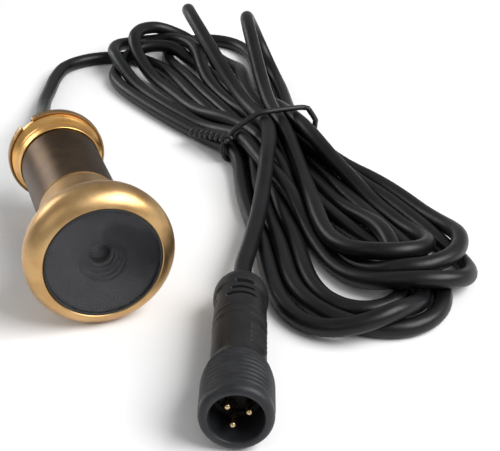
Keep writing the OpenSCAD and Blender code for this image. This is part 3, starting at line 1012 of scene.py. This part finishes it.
def add_ramp(tree, value, dark, light, low=0.35, high=0.65):
    ramp = tree.nodes.new("ShaderNodeValToRGB")
    ramp.color_ramp.elements[0].position = low
    ramp.color_ramp.elements[0].color = dark
    ramp.color_ramp.elements[1].position = high
    ramp.color_ramp.elements[1].color = light
    tree.links.new(value, ramp.inputs[0])
    return ramp.outputs[0]


def add_range(tree, value, low, high):
    span = tree.nodes.new("ShaderNodeMapRange")
    span.inputs["From Min"].default_value = 0.3
    span.inputs["From Max"].default_value = 0.7
    span.inputs["To Min"].default_value = low
    span.inputs["To Max"].default_value = high
    tree.links.new(value, span.inputs["Value"])
    return span.outputs["Result"]


def lathe_vector(tree, place):
    """Coordinates that are the same all round the Y axis, for the marks of turning."""
    split = tree.nodes.new("ShaderNodeSeparateXYZ")
    flat = tree.nodes.new("ShaderNodeCombineXYZ")
    size = tree.nodes.new("ShaderNodeVectorMath")
    size.operation = "LENGTH"
    join = tree.nodes.new("ShaderNodeCombineXYZ")
    tree.links.new(place, split.inputs[0])
    tree.links.new(split.outputs["X"], flat.inputs["X"])
    tree.links.new(split.outputs["Z"], flat.inputs["Z"])
    tree.links.new(flat.outputs[0], size.inputs[0])
    tree.links.new(size.outputs["Value"], join.inputs["X"])
    tree.links.new(split.outputs["Y"], join.inputs["Y"])
    return join.outputs[0]


def add_painted_edge_highlight(tree, colour, highlight_colour):
    """Gives the outer edges a brighter colour, a painted highlight of edges that catch the light."""
    geometry = tree.nodes.new("ShaderNodeNewGeometry")
    span = tree.nodes.new("ShaderNodeMapRange")
    span.inputs["From Min"].default_value = 0.515
    span.inputs["From Max"].default_value = 0.58
    tree.links.new(geometry.outputs["Pointiness"], span.inputs["Value"])
    mix = tree.nodes.new("ShaderNodeMix")
    mix.data_type = "RGBA"
    mix.inputs["B"].default_value = highlight_colour
    tree.links.new(span.outputs["Result"], mix.inputs["Factor"])
    tree.links.new(colour, mix.inputs["A"])
    return mix.outputs["Result"]


def surface(name, dark, light, drift, rough, grain, depth, lathe=0.0, edge_highlight=None, **inputs):
    """A material whose colour and roughness drift between two values over a length, with a fine grain.

    dark and light, and the colour of a painted highlight on outer edges, are screen levels, and rough is a
    range.
    Lengths are in millimetres: drift and grain are sizes, depth is the height of the grain and lathe that
    of turning marks.
    """
    material = bpy.data.materials.new(name)
    material.use_nodes = True
    tree = material.node_tree
    shader = tree.nodes["Principled BSDF"]
    place = tree.nodes.new("ShaderNodeTexCoord").outputs["Object"]
    wander = add_noise(tree, place, drift * MM)
    colour = add_ramp(tree, wander, srgb(dark), srgb(light))
    # Painted highlight: the outer edges get a brighter colour.
    if edge_highlight:
        colour = add_painted_edge_highlight(tree, colour, srgb(edge_highlight))
    tree.links.new(colour, shader.inputs["Base Color"])
    fine = add_noise(tree, place, grain * MM, 3)
    # The roughness follows the mean of the drift and the grain.
    mixed = tree.nodes.new("ShaderNodeMath")
    mixed.operation = "MULTIPLY_ADD"
    mixed.inputs[1].default_value = 0.5
    half = tree.nodes.new("ShaderNodeMath")
    half.operation = "MULTIPLY"
    half.inputs[1].default_value = 0.5
    tree.links.new(fine, half.inputs[0])
    tree.links.new(wander, mixed.inputs[0])
    tree.links.new(half.outputs[0], mixed.inputs[2])
    tree.links.new(add_range(tree, mixed.outputs[0], *rough), shader.inputs["Roughness"])
    normal = add_bump(tree, fine, depth * MM)
    if lathe:
        marks = add_noise(tree, lathe_vector(tree, place), LATHE_PITCH * MM, 2, 0.7)
        normal = add_bump(tree, marks, lathe * MM, normal)
    tree.links.new(normal, shader.inputs["Normal"])
    for key, value in inputs.items():
        shader.inputs[key.replace("_", " ")].default_value = value
    return material


BRASS = surface(
    "satin_brass", (186, 148, 98), (210, 173, 122), drift=6, rough=(0.3, 0.42), grain=0.6,
    depth=0.0015, lathe=0.006, Metallic=1.0)
RING = surface(
    "seat_brass", (228, 174, 100), (246, 194, 118), drift=5, rough=(0.26, 0.38), grain=0.6,
    depth=0.0015, lathe=0.005, Metallic=1.0)
# The sleeve's outer edges carry a painted highlight in their colour.
SLEEVE = surface(
    "sleeve_brass", (70, 54, 38), (93, 73, 52), drift=5, rough=(0.3, 0.44), grain=0.5,
    depth=0.003, lathe=0.007, edge_highlight=(226, 184, 128), Metallic=1.0)
WINDOW = surface(
    "window", (212, 212, 216), (218, 218, 222), drift=10, rough=(0.04, 0.09), grain=4,
    depth=0.0003, IOR=1.3, Transmission_Weight=1.0)
RUBBER = surface(
    "seal_rubber", (24, 24, 25), (36, 36, 37), drift=3, rough=(0.55, 0.75), grain=0.3,
    depth=0.008)
LENS_BLACK = surface(
    "lens_black", (34, 34, 36), (46, 46, 49), drift=4, rough=(0.3, 0.45), grain=0.3, depth=0.005)
SHROUD = surface(
    "shroud_black", (68, 68, 70), (80, 80, 83), drift=4, rough=(0.28, 0.42), grain=0.3,
    depth=0.005)
GLASS = surface(
    "optical_glass", (72, 76, 106), (88, 90, 120), drift=3, rough=(0.0, 0.03), grain=1,
    depth=0.0002, IOR=1.52, Transmission_Weight=1.0, Coat_Weight=0.4)
FILTER = surface(
    "filter_glass", (190, 110, 118), (206, 124, 130), drift=3, rough=(0.0, 0.04), grain=1,
    depth=0.0002, IOR=1.52, Transmission_Weight=1.0)
SILICON = surface(
    "sensor_silicon", (40, 46, 62), (62, 58, 84), drift=1.2, rough=(0.08, 0.2), grain=0.2,
    depth=0.001)
BOARD = surface(
    "circuit_board", (16, 66, 34), (26, 92, 48), drift=2, rough=(0.25, 0.45), grain=0.4,
    depth=0.012)
CHIP = surface(
    "chip_black", (26, 26, 27), (38, 38, 38), drift=2, rough=(0.5, 0.7), grain=0.15, depth=0.008)
CAPACITOR = surface(
    "capacitor", (140, 104, 70), (168, 132, 92), drift=1, rough=(0.4, 0.6), grain=0.2,
    depth=0.006)
CREAM = surface(
    "cream_plastic", (216, 210, 188), (232, 228, 208), drift=3, rough=(0.3, 0.45), grain=0.4,
    depth=0.004)
CORES = surface(
    "wire_cores", (150, 34, 26), (176, 46, 34), drift=4, rough=(0.35, 0.5), grain=0.5,
    depth=0.005)
STEEL = surface(
    "steel", (176, 178, 182), (200, 201, 204), drift=2, rough=(0.2, 0.35), grain=0.2, depth=0.002,
    Metallic=1.0)
END_BLACK = surface(
    "end_black", (18, 18, 19), (28, 28, 29), drift=4, rough=(0.45, 0.62), grain=0.3, depth=0.008)
CORD = surface(
    "cord_pvc", (9, 9, 11), (17, 18, 20), drift=7, rough=(0.32, 0.46), grain=0.6, depth=0.012,
    Specular_IOR_Level=0.3)
TIE = surface(
    "tie_pvc", (16, 16, 18), (28, 28, 31), drift=4, rough=(0.34, 0.5), grain=0.4, depth=0.01,
    Specular_IOR_Level=0.4)
SHELL = surface(
    "shell_black", (24, 25, 28), (40, 41, 45), drift=3, rough=(0.4, 0.56), grain=0.22,
    depth=0.016, Specular_IOR_Level=0.35)
CONNECTOR = surface(
    "connector_black", (15, 15, 16), (28, 28, 29), drift=3, rough=(0.4, 0.58), grain=0.22,
    depth=0.02, Specular_IOR_Level=0.35)
GOLD = surface(
    "pin_gold", (184, 158, 118), (210, 186, 146), drift=1.2, rough=(0.18, 0.34), grain=0.2,
    depth=0.002, Metallic=1.0)

INSIDE = {
    "lens_barrel": LENS_BLACK, "lens_holder": LENS_BLACK, "front_lens": GLASS, "rear_lens": GLASS,
    "ir_filter": FILTER, "image_sensor": SILICON, "sensor_board": BOARD, "holder_screws": STEEL,
    "video_chip": CHIP, "board_capacitors": CAPACITOR, "board_socket": CREAM, "harness_plug": CREAM,
    "wire_harness": CORES, "rear_plug": END_BLACK, "cord_stop": STEEL, "plug_insert": END_BLACK,
}


# ---------- the scene

add_camera()
cord_line = settle_cord()
cord = tube_along("signal_cord", smooth_line(cord_line, SKIN_STEP), SKIN_RADIUS, 18)
set_piece(cord, "housing", "cord_pvc", CORD, "cord_lead", "cord_hank", "cord_tail")

for index, piece in enumerate(make_tie(cord_line)):
    set_piece(piece, "housing", "tie_pvc", TIE, *(["wire_tie"] if index == 0 else []))

set_piece(make_head(), "housing", "satin_brass", BRASS, "front_housing")
thread = helix_thread("housing_thread", NECK_LENGTH, TUBE_END, root=6.45, crest=6.95, wall=CAMERA_BORE)
set_piece(thread, "housing", "satin_brass", BRASS)
set_piece(make_sleeve(), "sleeve", "sleeve_brass", SLEEVE, "rear_sleeve")
thread = helix_thread("sleeve_thread", 22.2, SLEEVE_END - 0.6, root=7.44, crest=7.03, wall=7.7)
set_piece(thread, "sleeve", "sleeve_brass", SLEEVE)
set_piece(make_seat_ring(), "seat", "satin_brass", RING, "seat_ring")
set_piece(make_window(), "housing", "window", WINDOW, "front_window")
set_piece(make_gasket(), "housing", "seal_rubber", RUBBER, "window_gasket")
set_piece(make_shroud(), "housing", "lens_black", SHROUD, "lens_shroud")
set_piece(make_gland(), "housing", "seal_rubber", RUBBER, "cable_gland")

for make, node, slot_name, material in (
        (make_shell, "plug_shell", "connector_black", SHELL),
        (make_overmould, "plug_overmould", "connector_black", CONNECTOR),
        (make_plug_seal, "plug_seal", "seal_rubber", RUBBER),
        (make_pins, "plug_pins", "pin_gold", GOLD)):
    piece = make()
    piece.data.transform(plug_place())
    set_piece(piece, "housing", slot_name, material, node)

for node, material in INSIDE.items():
    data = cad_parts[node].data
    data.materials.clear()
    data.materials.append(material)

add_floor()
add_world(0.4)
add_area_light("key", (0.56, -0.4, 0.66), (0.8, 0.6), 12)
add_area_light("back", (-0.55, 0.9, 0.34), (0.5, 0.4), 2.5)
add_area_light("left", (-0.6, -0.3, 0.5), (0.4, 0.4), 0.35)
bpy.context.scene.view_settings.view_transform = "Standard"
